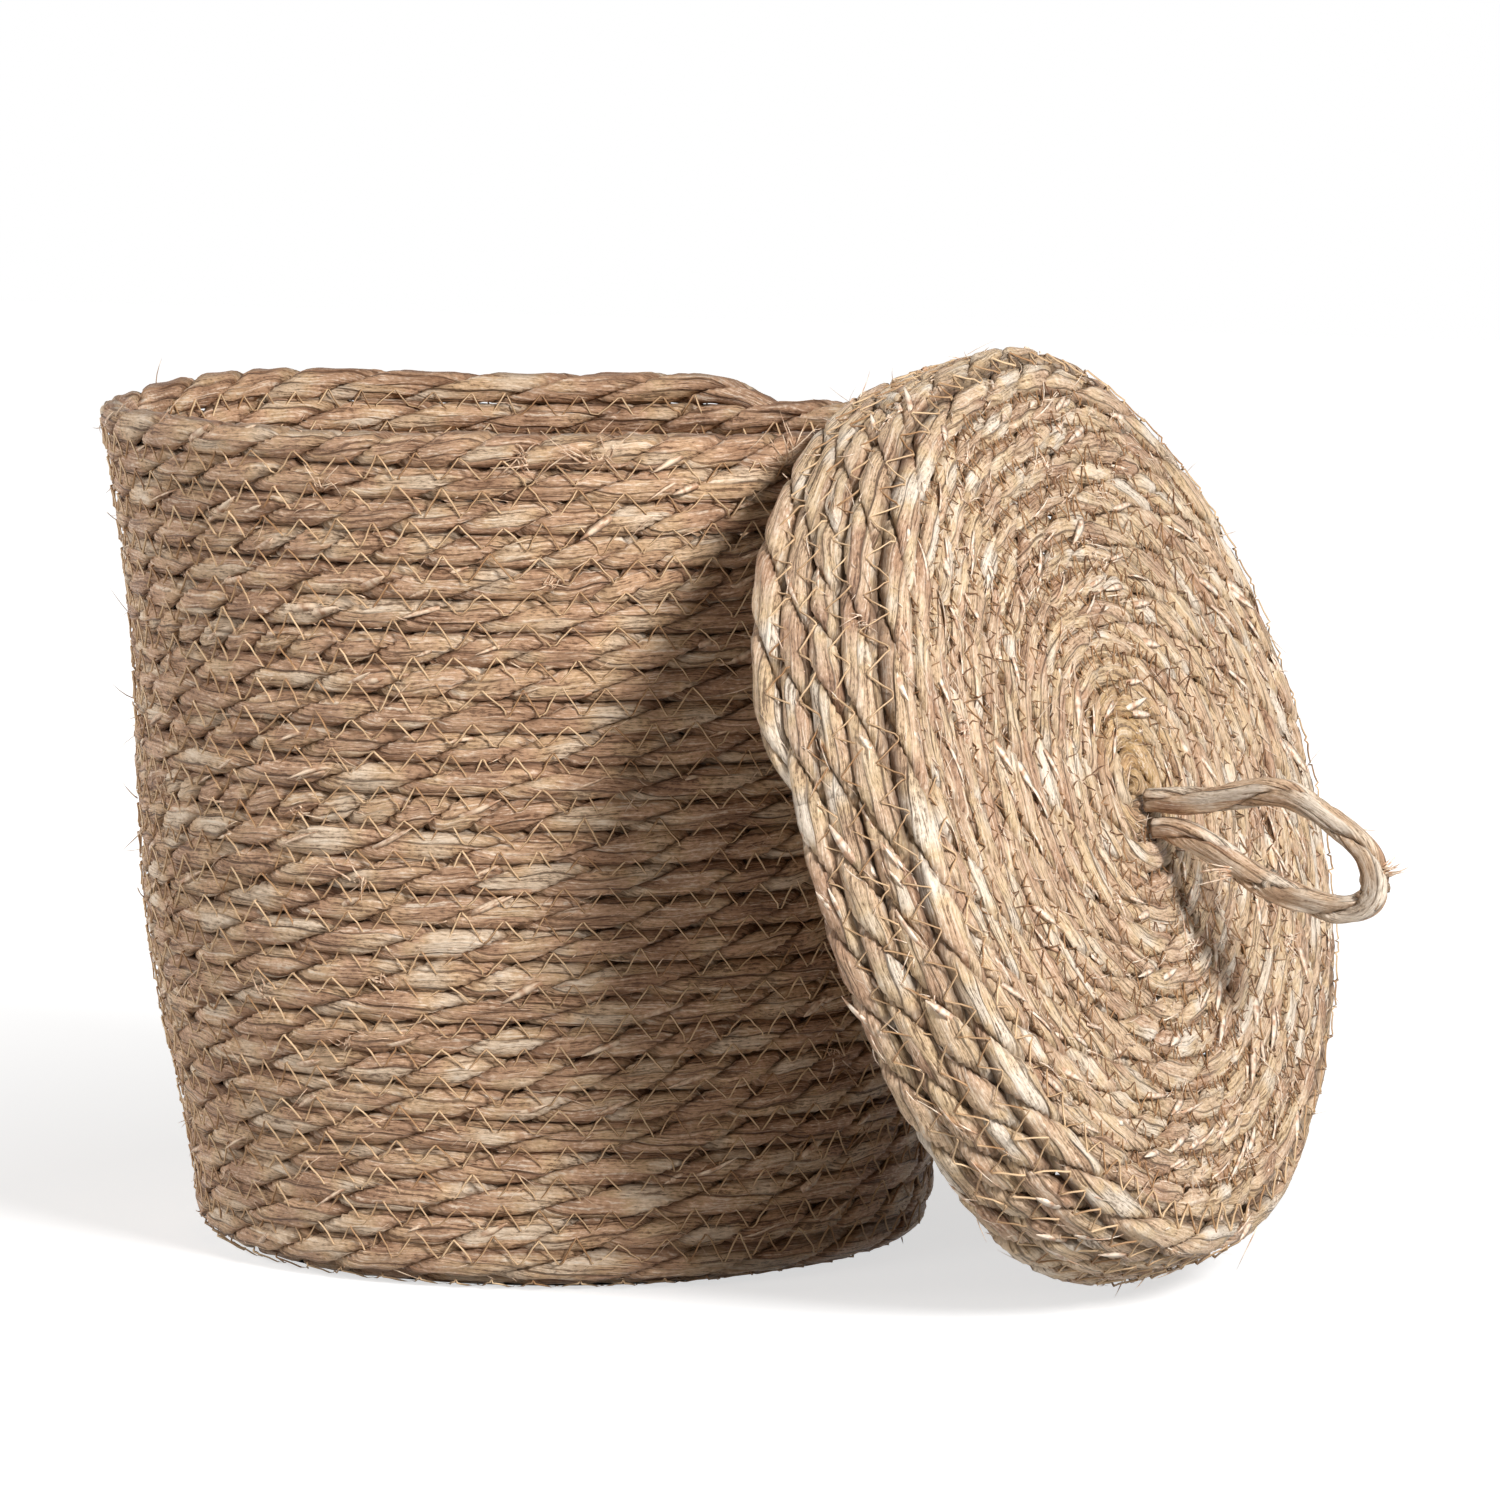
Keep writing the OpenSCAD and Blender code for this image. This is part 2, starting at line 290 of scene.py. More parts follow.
def strand(rope, cord, which, seed):
    """One of a rope's two strands as a tube for build: its rings of points, their lengths along it, each
    point's share round it and how much painted shade it gets in a fold. The strands share the rope in
    halves. Each is a bundle of flat leaf strips with low steps between them, twisted against the lay so
    that they lie nearly along the rope. The rope's full is its share of the whole thickness, its press how
    far out its face may stand, and its dark how strong the painted shade in its folds is."""
    half, s, count = cord.thickness / 2, rope.s, cord.strips
    # How far the strand's middle is off the rope's, and how far it reaches outwards, inwards and sideways
    offset, thick, deep, wide = 0.40 * half, 0.60 * half, 0.40 * half, 0.92 * half
    # Places across a strip, and how high each stands on a rope 15.6 mm thick
    shares = np.array([0.0, 0.33, 0.66, 0.94])
    heights = np.array([-0.00020, 0.00006, 0.00022, 0.00030]) * half / 0.0078

    def each(length, first):
        """Smooth noise along each of the strips."""
        return np.stack([wander(s / length, seed + first + i) for i in range(count)], 1)

    turn = rope.turn + math.pi * which
    drift = TURN * s / 0.21 + 0.5 * wander(s / 0.2, seed + 20)
    edges = [TURN * i / count + 0.35 * wander(s / 0.045 + 7 * i, seed + 30 + i) for i in range(count)]
    edges = np.stack(edges + [edges[0] + TURN], 1)
    angle = edges[:, :-1, None] + (edges[:, 1:, None] - edges[:, :-1, None]) * shares
    swell = 0.00030 * each(0.06, 60) + 0.00014 * each(0.011, 70)
    height = heights * (0.8 + 0.8 * each(0.06, 40))[:, :, None] + swell[:, :, None]
    angle = angle.reshape(len(s), -1) + drift[:, None]
    height = height.reshape(len(s), -1)
    lean = angle - turn[:, None]
    c, q = np.cos(lean), np.sin(lean)
    size = rope.swell * (1 + 0.07 * wander(s / 0.03, seed + 80 + which)) * rope.full
    # Rounder on its outer side, and squarer where it meets the other strand
    power = np.where(c > 0, 2.2, 4.5)
    reach = (np.abs(c) / np.where(c > 0, thick, deep)) ** power + (np.abs(q) / wide) ** power
    reach = reach ** (-1 / power) + height
    out = offset * np.cos(turn)[:, None] + reach * np.cos(angle)
    over = offset * np.sin(turn)[:, None] + reach * np.sin(angle)
    # Painted shade darkens the folds, where the strands meet and where the rows do
    between_strands = 0.75 * ease((0.89 - np.hypot(out, over) / half) / 0.17)
    between_rows = ease((np.abs(over) / half - 0.78) / 0.22)
    fold_shade = np.maximum(between_strands, between_rows) * rope.dark[:, None]
    # The outer side is pressed flat
    flat = (1 + (np.abs(out) / (rope.press[:, None] * half)) ** 6) ** (-1 / 6)
    out = np.where(out > 0, out * flat, out) * size[:, None]
    over = over * size[:, None]
    rings = rope.p[:, None] + out[:, :, None] * rope.n[:, None] + over[:, :, None] * rope.w[:, None]
    around = np.append(((np.arange(count)[:, None] + shares) / count).ravel(), 1.0)
    return rings, s + 100 * which, around, fold_shade


def strands(rope, cord, seed):
    """Both strands of a rope, as tubes for build."""
    return [strand(rope, cord, which, seed + 100 * which) for which in (0, 1)]


# ---- meshes ----


def build(name, tubes, material, body, slot, nodes, place, period=0):
    """One piece out of closed tubes. Each tube has its rings, the length along it at each ring, the
    share round it of each point and, on a rope, the painted shade of each point in a fold. The bake's map
    sets ropes in bands, one under another. Threads and fibres fill it again after each period of rings."""
    total = sum(len(rings) - 1 for rings, *_ in tubes)
    middle = tubes[0][0][len(tubes[0][0]) // 2]
    girth = np.linalg.norm(np.diff(middle, axis=0, append=middle[:1]), axis=1).sum()
    bands = max(1, round(math.sqrt(sum(abs(along[-1] - along[0]) for _, along, *_ in tubes) / girth)))
    per_band = math.ceil(total / bands)
    points, fold_shading, corners, starts, leaf, chart = [], [], [], [], [], []
    base = corner = cell = 0
    for rings, along, around, *fold_shade in tubes:
        n, q = rings.shape[:2]
        points.append(rings.reshape(-1, 3))
        fold_shading.append(fold_shade[0].ravel() if fold_shade else np.zeros(n * q))
        i, j = np.meshgrid(np.arange(n - 1), np.arange(q), indexing="ij")
        j2 = (j + 1) % q
        quad = np.stack([i * q + j, i * q + j2, (i + 1) * q + j2, (i + 1) * q + j], 2).reshape(-1, 4) + base
        corners.append(quad.ravel())
        starts.append(corner + 4 * np.arange(len(quad)))
        corner += 4 * len(quad)
        v = np.stack([around[j], around[j + 1], around[j + 1], around[j]], 2)
        ends = np.array([0, 0, 1, 1])
        if period:
            u = (((i + cell) % period)[..., None] + ends) / period
            leaf.append(np.stack([u, v], 3).reshape(-1, 2))
            chart.append(leaf[-1])
        else:
            u = np.stack([along[i], along[i], along[i + 1], along[i + 1]], 2)
            leaf.append(np.stack([u, v], 3).reshape(-1, 2))
            at = cell + i
            x = (at % per_band)[..., None] + ends
            y = (at // per_band)[..., None] + 0.03 + 0.94 * v
            chart.append(np.stack([x / per_band, y / bands], 3).reshape(-1, 2))
        for ring, order in ((0, np.arange(q - 1, -1, -1)), (n - 1, np.arange(q))):
            corners.append(base + ring * q + order)
            starts.append(np.array([corner]))
            corner += q
            disc = np.stack([np.cos(order / q * TURN), np.sin(order / q * TURN)], 1)
            spot = cell + min(ring, n - 2)
            if period:
                leaf.append((0.5, 0.5) + disc * (0.001, 0.1))
                chart.append(leaf[-1])
            else:
                leaf.append((along[ring], 0.5) + disc * (0.002, 0.1))
                middle = (spot % per_band + 0.5, spot // per_band + 0.5)
                chart.append((middle + disc * (0.4, 0.2)) / (per_band, bands))
        base += n * q
        cell += n - 1
    points, corners, starts = place(np.concatenate(points)), np.concatenate(corners), np.concatenate(starts)
    # What would go below the floor is pressed flat on it
    points[:, 2] = np.where(points[:, 2] < 0, -0.05 * points[:, 2], points[:, 2])
    mesh = bpy.data.meshes.new(name)
    mesh.vertices.add(len(points))
    mesh.vertices.foreach_set("co", points.astype(np.float32).ravel())
    mesh.loops.add(len(corners))
    mesh.loops.foreach_set("vertex_index", corners.astype(np.int32))
    mesh.polygons.add(len(starts))
    mesh.polygons.foreach_set("loop_start", starts.astype(np.int32))
    mesh.update(calc_edges=True)
    mesh.polygons.foreach_set("use_smooth", np.ones(len(starts), bool))
    for label, values in (("fibre", leaf), ("OFBake", chart)):
        layer = mesh.uv_layers.new(name=label)
        layer.data.foreach_set("uv", np.concatenate(values).astype(np.float32).ravel())
    # Each point's painted shade in the folds, for the leaf finish
    layer = mesh.attributes.new("fold_shade", "FLOAT", "POINT")
    layer.data.foreach_set("value", np.concatenate(fold_shading).astype(np.float32))
    mesh.materials.append(material)
    mesh.validate()
    piece = bpy.data.objects.new(name, mesh)
    bpy.context.scene.collection.objects.link(piece)
    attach(piece, body)
    if nodes:
        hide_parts(*nodes)


def tube(points, out, radius, sides=3):
    """A thin tube along points. It takes one radius and one outward direction, or one for each point."""
    t = unit(np.gradient(points, axis=0))
    out = np.broadcast_to(out, points.shape)
    out = unit(out - t * (out * t).sum(1)[:, None])
    side = np.cross(t, out)
    turn = (TURN * np.arange(sides) / sides)[:, None]
    radius = np.broadcast_to(radius, len(points))[:, None, None]
    rings = points[:, None] + radius * (np.cos(turn) * out[:, None] + np.sin(turn) * side[:, None])
    return rings, run_of(points), np.arange(sides + 1) / sides


# ---- sewing ----

# One zigzag of the thread: the share along it, the place across the seam and the height over it, in mm.
# The thread goes down into the rope at each turn.
OUTER_STITCH = np.array([
    (0.02, -5.2, 7.7), (0.10, -3.1, 7.4), (0.22, -0.2, 7.2), (0.34, 2.7, 7.4), (0.45, 5.3, 7.7),
    (0.48, 5.8, 6.0), (0.51, 5.2, 7.3), (0.62, 2.1, 6.9), (0.74, -1.4, 6.9), (0.86, -4.7, 7.3),
    (0.91, -5.8, 7.0), (0.97, -5.9, 6.3),
])
INNER_STITCH = np.array([
    (0.02, -4.6, 7.9), (0.25, 0.0, 7.5), (0.47, 5.0, 7.9), (0.52, 5.2, 6.9), (0.66, 0.0, 7.5),
    (0.8, -4.8, 7.9), (0.92, -5.4, 7.3),
])


def sew(seam, shape, side, seed, stitch, thread, sunk, loose):
    """The thread along a seam, as one long tube. The side is 1 for the outer face and -1 for the inner.
    Sunk is how many mm deeper it lies, and loose how far it strays."""
    rng = np.random.default_rng(seed)
    count = max(2, int(seam.s[-1] / stitch))
    length = rng.uniform(1 - 0.24 * loose, 1 + 0.24 * loose, count)
    starts = np.concatenate([[0], np.cumsum(length)])
    starts *= (seam.s[-1] - 0.002) / starts[-1]
    at, across, height = [], [], []
    for i in range(count):
        share, v, h = shape.T
        share = share + rng.normal(0, 0.012, len(share))
        v = v * rng.uniform(1 - 0.3 * loose, 1.15)
        v = v + loose * (rng.normal(0, 0.7) + rng.normal(0, 0.06, len(v)))
        at.append(starts[i] + np.sort(share) * (starts[i + 1] - starts[i]))
        across.append(v)
        height.append(h - sunk + rng.normal(0, 0.06, len(h)) - 1.1 * rng.random() ** 2)
    at = np.concatenate(at) + seam.s[0]
    across, height = (np.concatenate(mm)[:, None] / 1000 for mm in (across, height))
    lines = (seam.p, seam.n, seam.w)
    p, n, w = (np.stack([np.interp(at, seam.s, v[:, i]) for i in range(3)], 1) for v in lines)
    p = p + side * n * height + w * across
    return tube(p, side * n, thread / 2 * (1 + 0.15 * wander(at / 0.03, seed)))


def picks(rope, cuts, count, rng):
    """Points of a rope taken at random between two row counts."""
    low, high = np.searchsorted(rope.k, cuts)
    for _ in range(count):
        yield int(rng.integers(low, high - 1))


def about(rope, i, gamma):
    """The direction out of a rope at one of its points, at an angle round it, and the one across that."""
    n, w = rope.n[i], rope.w[i]
    return np.cos(gamma) * n + np.sin(gamma) * w, -np.sin(gamma) * n + np.cos(gamma) * w


def fibre(start, heading, bend, length, radius, out, sides=3):
    """A bent and pointed fibre of five rings, with a radius for each."""
    t = np.linspace(0, 1, 5)[:, None]
    return tube(start + length * (heading * t + bend * t * t), out, radius, sides)


def frays(rope, cuts, count, seed, longest=0.016, side=1):
    """Loose fibres that stand off a rope: thin, bent and pointed, mostly lying along the strands."""
    rng = np.random.default_rng(seed)
    for i in picks(rope, cuts, count, rng):
        radial, cross = about(rope, i, rng.uniform(-1.3, 1.3) + (0 if side > 0 else math.pi))
        way = rng.choice([-1, 1])
        heading = way * (rope.t[i] + rng.normal(-0.45, 0.5) * cross) + rng.uniform(0.05, 0.5) * radial
        length = 0.004 + longest * rng.random() ** 2.2
        bend = rng.normal(0, 0.35) * cross - rng.uniform(-0.2, 0.45) * radial
        radius = rng.uniform(0.00012, 0.0004) * np.array([1, 1, 0.85, 0.55, 0.12])
        yield fibre(rope.p[i] + FRAY_ROOT * radial, unit(heading), bend, length, radius, radial)


def tufts(rope, cuts, count, seed, reach=0.005):
    """Clumps where a leaf's end has broken up into short curled fibres."""
    rng = np.random.default_rng(seed)
    for i in picks(rope, cuts, count, rng):
        gamma = rng.uniform(-0.9, 0.9)
        for _ in range(int(rng.integers(9, 16))):
            radial, cross = about(rope, i, gamma + rng.normal(0, 0.22))
            start = rope.p[i] + TUFT_ROOT * radial + rng.normal(0, 0.0022) * rope.t[i]
            heading = rng.normal(0, 1) * rope.t[i] + rng.normal(0, 1) * cross
            heading = heading + rng.uniform(0.1, 0.8) * radial
            length = reach * rng.uniform(0.5, 1.6)
            bend = rng.normal(0, 0.8) * rope.t[i] + rng.normal(0, 0.8) * cross - 0.4 * radial
            radius = rng.uniform(0.00025, 0.00055) * np.array([1, 1, 0.9, 0.7, 0.3])
            yield fibre(start, unit(heading), bend, length, radius, radial)


def rosette(count, seed):
    """Short curled fibres over the start of the lid's coil."""
    rng = np.random.default_rng(seed)
    middle, widest, lowest = (-0.004, 0.003), 0.024, -0.002
    for _ in range(count):
        far, turn = widest * math.sqrt(rng.random()), rng.uniform(0, TURN)
        c, s = math.cos(turn), math.sin(turn)
        start = np.array([far * c + middle[0], far * s + middle[1], -0.0022 + rng.uniform(0, 0.0012)])
        heading = rng.normal(0, 1, 3) * (1, 1, 0.15) + (-s, c, 0.1)
        bend = rng.normal(0, 0.7, 3) * (1, 1, 0) - (0, 0, 0.3)
        t = np.linspace(0, 1, 5)[:, None]
        points = start + rng.uniform(0.004, 0.013) * (unit(heading) * t + bend * t * t)
        points[:, 2] = np.maximum(points[:, 2], lowest)
        radius = rng.uniform(0.0003, 0.0008) * np.array([0.8, 1, 0.9, 0.7, 0.2])
        yield tube(points, (0, 0, 1.0), radius)


def flaps(rope, cuts, count, seed):
    """Ends of leaf strips that have come away and curl up: flat ribbons that lie on the strands."""
    rng = np.random.default_rng(seed)
    # The ribbon's section, as shares of its width out of the rope and to the sides
    section = np.array([(0.16, 0.0), (0.0, 1.0), (-0.16, 0.0), (0.0, -1.0)])
    t = np.linspace(0, 1, 6)[:, None]
    for i in picks(rope, cuts, count, rng):
        radial, cross = about(rope, i, rng.uniform(-1.1, 1.1))
        way = rng.choice([-1, 1])
        heading = unit(way * (rope.t[i] - 0.45 * cross) + rng.normal(0, 0.12) * cross)
        length = rng.uniform(0.010, 0.024)
        lift = rng.uniform(0.0003, 0.0022)
        # Sunk at its root, lifted at its end, and bent a little with the rope
        rise = lift * t**2 - 0.0008 * (1 - t) ** 2
        points = rope.p[i] + FLAP_ROOT * radial + length * heading * t + rise * radial
        points = points - 0.5 * (length * t) ** 2 / 0.0085 * radial * 0.18
        wide = rng.uniform(0.0009, 0.0022) * np.array([0.8, 1, 1, 0.9, 0.6, 0.15])
        side = unit(np.cross(heading, radial))
        around = section[:, :1] * radial + section[:, 1:] * side
        rings = points[:, None] + wide[:, None, None] * around
        yield rings, t[:, 0] * length, np.arange(5) / 4


# ---- profiles and places ----


def basket_profile(k):
    """Radius and height of the basket's rope after k rows. Row 0 is the outer row of the base."""
    rope, basket = bpy.context.scene.basket_rope, bpy.context.scene.basket_body
    half, pitch, rows = rope.thickness / 2, rope.pitch, basket.rows

    def wall(k):
        share = k / (rows - 1)
        lean = (basket.rim - basket.foot) / 2 * share
        return basket.foot / 2 - half + lean + basket.bulge * np.sin(math.pi * share)

    foot = wall(0) - basket.inset
    rings = round(foot / pitch)
    rise = math.sqrt(pitch**2 - (wall(1) - foot) ** 2)
    # The rope is pressed 0.5 mm into the floor
    z = half - 0.0005 + np.where(k < 0, 0, np.where(k < 1, rise * k, rise + (k - 1) * pitch))
    heel = foot + (k - 1) * foot / rings + np.sqrt(np.maximum(pitch**2 - (rise * np.clip(k, 0, 1)) ** 2, 0))
    return np.where(k <= 0, foot + k * foot / rings, np.where(k < 1, heel, wall(np.maximum(k, 0)))), z


def lid_profile(k):
    """Radius and height of the lid's rope after k rows, in the lid's own frame."""
    rope, lid = bpy.context.scene.basket_rope, bpy.context.scene.basket_lid
    # The first row of the skirt stands a little inside the others
    half, pitch, soft = rope.thickness / 2, rope.pitch, 0.0015
    skirt = lid.radius - half
    face = skirt - lid.shoulder
    drops = [math.sqrt(pitch**2 - (lid.shoulder - soft) ** 2), math.sqrt(pitch**2 - soft**2), pitch]
    heights = -half - np.concatenate([[0], np.cumsum(drops)])
    flat = k / FACE_ROWS * face
    z = np.interp(k, FACE_ROWS + np.arange(4), heights) - pitch * np.maximum(k - FACE_ROWS - 3, 0)
    z = np.where(k < FACE_ROWS, -half + lid.dome * (1 - (flat / face) ** 2), z)
    before = (k - 1) / FACE_ROWS * face
    gap = z + half - lid.dome * (1 - (before / face) ** 2)
    corner = before + np.sqrt(np.maximum(pitch**2 - gap**2, 0))
    outer = np.interp(k, [FACE_ROWS + 1, FACE_ROWS + 2], [skirt - soft, skirt])
    return np.where(k <= FACE_ROWS, flat, np.where(k < FACE_ROWS + 1, corner, outer)), z


# How far the rim is out of level: a direction in degrees from +X, and mm
RIM_LEVEL = [(0, 0), (70, -1), (90, -5), (120, -5), (150, 2), (165, 3), (200, 0), (360, 0)]
# How far the lid is out of round, and its lip and face out of flat: degrees from down its slope, and mm
LID_OUTLINE = [
    (0, -4), (30, -7), (45, -5), (60, 3), (90, 9), (110, 12), (150, 5), (165, -4), (185, -15), (220, -9),
    (270, 0), (330, 2), (360, -4),
]
LID_LIP = [(0, -6), (90, 0), (160, 7), (205, 7), (225, 1), (290, 0), (360, -6)]
LID_FACE = [(0, 0), (20, 0), (60, 4), (120, 4), (160, 0), (360, 0)]


def by_way(table, p):
    """A table's value, in m, for the direction that each point lies in. Its corners are smoothed."""
    fine = np.arange(-60, 421, 5.0)
    values = np.convolve(np.interp(fine % 360, *zip(*table)), [0.1, 0.2, 0.4, 0.2, 0.1], "same")
    return np.interp(np.degrees(np.arctan2(p[:, 1], p[:, 0])) % 360, fine, values) / 1000


def slumped(p):
    """Where the basket's shape has given: its wall leans away from the lid and is dented on that side,
    and its rim is out of level."""
    basket = bpy.context.scene.basket_body
    way = math.radians(26.4)
    away = np.array([-math.cos(way), -math.sin(way)])
    r = np.maximum(np.linalg.norm(p[:, :2], axis=1), 1e-6)
    facing = p[:, :2] @ away / r
    slide = basket.slump * p[:, 2] / WALL_HEIGHT * (1 + facing) / 2
    # Out below one level and in above it, as a wave, fading to the foot and to the lid's side
    level, wave = 0.215, 0.3
    dent = np.sin(TURN * (level - p[:, 2]) / wave) * ease(p[:, 2] / 0.1)
    dent = dent * np.clip(facing, 0, 1) * ease(r / 0.15)
    moved = p.copy()
    moved[:, :2] += slide[:, None] * away + (basket.dent * dent / r)[:, None] * p[:, :2]
    moved[:, 2] += basket.sag * by_way(RIM_LEVEL, p) * np.clip(p[:, 2] / WALL_HEIGHT, 0, 1) ** 2
    return moved


def lid_origin():
    """The middle of the lid, level with its shoulder."""
    handle = bpy.context.scene.basket_handle
    return HANDLE_PIVOT - handle.pivot * LID_AXIS - handle.drop * DOWN_SLOPE


def leaned(p):
    """From the lid's own frame to where the lid leans."""
    return lid_origin() + p @ LID_AXES


def lid_shaped(p):
    """The lid gone a little out of shape, and then leaned."""
    lid = bpy.context.scene.basket_lid
    far = np.linalg.norm(p[:, :2], axis=1)
    # The middle keeps its shape, and the lip gives more and more from just under the shoulder
    outer, still, shoulder, lip = 0.15, 0.03, 0.008, 0.055
    grown = 1 + lid.warp * by_way(LID_OUTLINE, p) / lid.radius * ease(far / outer)
    rise = by_way(LID_FACE, p) * ease((far - still) / (outer - still))
    rise = rise + by_way(LID_LIP, p) * np.clip((-p[:, 2] - shoulder) / lip, 0, 1.1)
    return leaned(np.stack([p[:, 0] * grown, p[:, 1] * grown, p[:, 2] + lid.warp * rise], 1))


def tapered(line):
    """How full a wound rope is: thinned out to its end."""
    return 1 - 0.45 * np.clip(1 - (line.s[-1] - line.s) / TAPER, 0, 1)


def basket_rope():
    """The whole rope of the basket, from the middle of the base to its end on the rim."""
    rope, basket = bpy.context.scene.basket_rope, bpy.context.scene.basket_body
    # From the middle of the base to the last row of the wall
    middle, last = -10.85, basket.rows - 1
    line = wind(basket_profile, middle, last, last, basket.end, 1, rope.step, fall=-rope.pitch)
    # The top rows are a little thinner and less pressed
    high = ease(line.k - 24)
    line.full = tapered(line) * (0.9 + 0.1 * ease(line.s / 0.03)) * (1 - 0.04 * high)
    # The folds get the painted shade at full strength
    line.press, line.dark = 0.97 + 0.25 * high, 1 + 0 * high
    return lay_up(line, rope, 3)


def lid_rope():
    """The whole rope of the lid, from the middle of its face to its end on the edge."""
    rope, lid = bpy.context.scene.basket_rope, bpy.context.scene.basket_lid
    line = wind(lid_profile, 0.16, LID_ROWS, LID_ROWS, lid.end, -1, rope.step, fall=rope.pitch)
    line.full = tapered(line) * (0.6 + 0.4 * ease(line.s / 0.03))
    # The face is pressed flatter than the skirt, and has less painted shade in its folds
    outer = ease((line.k - 12.5) / 1.5)
    line.press, line.dark = 0.84 + 0.16 * outer, 0.7 + 0.4 * outer
    return lay_up(line, rope, 5)


# ---- finishes ----


def blank(name):
    """A new material, with its nodes and its shader."""
    material = bpy.data.materials.new(name)
    material.use_nodes = True
    return material, material.node_tree, material.node_tree.nodes["Principled BSDF"]


def leaf_finish(name, colours, fold_shading=0.62, gold=False):
    """Dried leaf, twisted by hand and left raw: matt to satin strips, each of its own tone, with fine
    fibres along it, pale split lines that are partly painted highlights, and painted shade in the creases
    where one strip laps over the next and in the rope's folds."""
    finish = bpy.context.scene.basket_colours
    material, tree, shader = blank(name)
    add = partial(node, tree)

    parts = add("SeparateXYZ", {"Vector": add("UVMap", uv_map="fibre")}).outputs
    count = float(bpy.context.scene.basket_rope.strips)
    strips = add("Math", (parts["Y"], count), operation="MULTIPLY")
    strip = add("Math", (strips,), operation="FLOOR")
    within = add("Math", (strips,), operation="FRACT")
    smooth, stepped = add("CombineXYZ", (parts["X"], strips)), add("CombineXYZ", (parts["X"], strip))
    patterns = []
    for place, scale, detail, roughness in (
        # Each strand's tone drifts over some 40 mm, and a little from strip to strip
        (stepped, (24.0, 0.37, 1.0), 1.5, 0.5),
        # Fibres 0.8 mm wide and 20 mm long, specks 1 mm by 3 mm, and folds 2 mm wide and 50 mm long
        (smooth, (45.0, 8.0, 1.0), 5.0, 0.72),
        (smooth, (320.0, 6.0, 1.0), 3.0, 0.6),
        (smooth, (20.0, 2.3, 1.0), 2.0, 0.5),
    ):
        at = add("Mapping", {"Vector": place, "Scale": scale})
        settings = {"Vector": at, "Scale": 1.0, "Detail": detail, "Roughness": roughness}
        patterns.append(add("TexNoise", settings, noise_dimensions="2D"))
    tone, fine, speck, broad = patterns
    ramp = add("ValToRGB", (add("MapRange", (tone, 0.3, 0.7)),))
    stops = ramp.color_ramp.elements
    for at in (0.4, 0.68):
        stops.new(at)
    for stop, at, colour in zip(stops, (0.0, 0.4, 0.68, 1.0), colours):
        stop.position, stop.color = at, (*colour, 1)
    grain = add("Math", (speck, 0.6, fine), operation="MULTIPLY_ADD")
    grain = add("Math", (broad, 0.6, grain), operation="MULTIPLY_ADD")
    shade = add("MapRange", (grain, 0.86, 1.36, 0.59, 1.33))
    # Fine dark lines where the fibres part, and pale ones where the skin has split, which also serve as
    # painted highlight streaks
    cut = add("MapRange", (grain, 1.0, 0.92, 0.0, 0.55))
    split = add("MapRange", (grain, 1.2, 1.36, 0.0, 0.8))
    # Creases where the strips meet, which come and go along the rope: painted shade in the colour, and
    # dents in the bump
    edge = add("Math", (add("Math", (within, 0.5), operation="SUBTRACT"),), operation="ABSOLUTE")
    crease = add("MapRange", (edge, 0.40, 0.5, 0.0, add("MapRange", (broad, 0.62, 0.4, 0.2, 1.0))))
    tint = ramp.outputs[0]
    if gold:
        # A stain 60 mm across beside the middle of the coil
        centre = lid_origin() - 0.018 * DOWN_SLOPE + 0.012 * LID_AXES[1]
        place = add("TexCoord").outputs["Object"]
        far = add("VectorMath", {0: place, 1: tuple(centre)}, operation="DISTANCE").outputs["Value"]
        stain = add("MapRange", (far, 0.05, 0.015, 0.0, add("MapRange", (fine, 0.35, 0.6, 0.25, 0.85))))
        tint = add("Mix", {0: stain, 6: tint, 7: (*finish.gold, 1)}, data_type="RGBA").outputs[2]
    # Leaf is redder where it is darker
    warm, warmer = (add("Math", (shade, power), operation="POWER") for power in (1.2, 1.45))
    worn = add("CombineColor", (shade, warm, warmer))
    toned = add("Mix", {0: 1.0, 6: tint, 7: worn}, data_type="RGBA", blend_type="MULTIPLY").outputs[2]
    toned = add("Mix", {0: split, 6: toned, 7: (*finish.split, 1)}, data_type="RGBA").outputs[2]
    # Towards the crease colour go the painted shade of the strip creases and of the rope's folds, and the
    # dark lines of the grain
    fold_shade = add("Attribute", attribute_name="fold_shade").outputs["Fac"]
    dark = add("Math", (add("Math", (crease, 0.75), operation="MULTIPLY"), cut), operation="MAXIMUM")
    dark = add("Math", (dark, add("Math", (fold_shade, fold_shading), operation="MULTIPLY")), operation="MAXIMUM")
    colour = add("Mix", {0: dark, 6: toned, 7: (*finish.crease, 1)}, data_type="RGBA").outputs[2]
    # Grain and creases about 1 mm deep
    height = add("Math", (grain, crease), operation="SUBTRACT")
    bump = add("Bump", {"Height": height, "Distance": 0.0011, "Strength": 1.0})
    tree.links.new(colour, shader.inputs["Base Color"])
    tree.links.new(add("MapRange", (fine, 0.3, 0.7, 0.62, 0.44)).outputs[0], shader.inputs["Roughness"])
    tree.links.new(bump.outputs[0], shader.inputs["Normal"])
    shader.inputs["Specular IOR Level"].default_value = 0.4
    return material


def straw_finish(name, pale, dark):
    """Split straw, as thread pulled tight or as loose fibre: thin and smooth, and paler than the leaf."""
    material, tree, shader = blank(name)
    # On a thread the tone changes about once a stitch
    at = node(tree, "Mapping", {"Vector": node(tree, "UVMap", uv_map="fibre"), "Scale": (24.0, 0.6, 1.0)})
    tone = node(tree, "TexNoise", {"Vector": at, "Scale": 1.0, "Detail": 2.0}, noise_dimensions="2D")
    tone = node(tree, "MapRange", (tone, 0.36, 0.62))
    colour = node(tree, "Mix", {0: tone, 6: (*dark, 1), 7: (*pale, 1)}, data_type="RGBA").outputs[2]
    tree.links.new(colour, shader.inputs["Base Color"])
    shader.inputs["Roughness"].default_value = 0.5
    return material


# ---- operators ----

